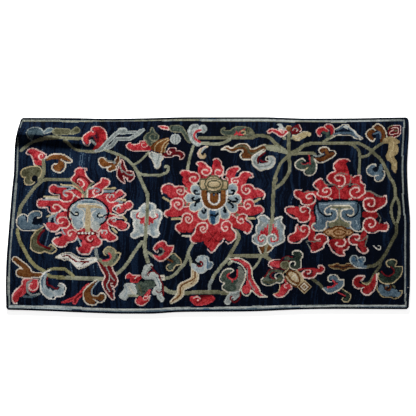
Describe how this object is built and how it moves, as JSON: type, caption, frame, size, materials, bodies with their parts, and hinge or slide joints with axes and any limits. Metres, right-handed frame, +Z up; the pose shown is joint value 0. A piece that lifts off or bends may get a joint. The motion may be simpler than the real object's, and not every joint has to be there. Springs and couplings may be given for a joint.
{
  "type": "tibetan rug",
  "caption": "Long knotted wool sleeping rug with lotus flowers and vines on dark indigo, a wrapped wool edging and a soft fold near a corner, lying flat.",
  "frame": {"origin": "centre of the rug's outline, on the surface that it lies on", "axes": "+X along the rug's length, away from the end with the fold; +Y across its width, towards the side with the fold; +Z up"},
  "size_m": [1.7437, 0.856, 0.0426],
  "materials": {
    "pile": "hand-knotted wool pile with a soft sheen, dark indigo with red, blue, green, brown and cream motifs",
    "edging": "matte wool yarn wrapped round the edge, near-black navy"
  },
  "bodies": {
    "root": {"knotted_body": "pile", "edging_near": "edging", "edging_far": "edging", "edging_left": "edging", "edging_right": "edging"}
  },
  "joints": []
}
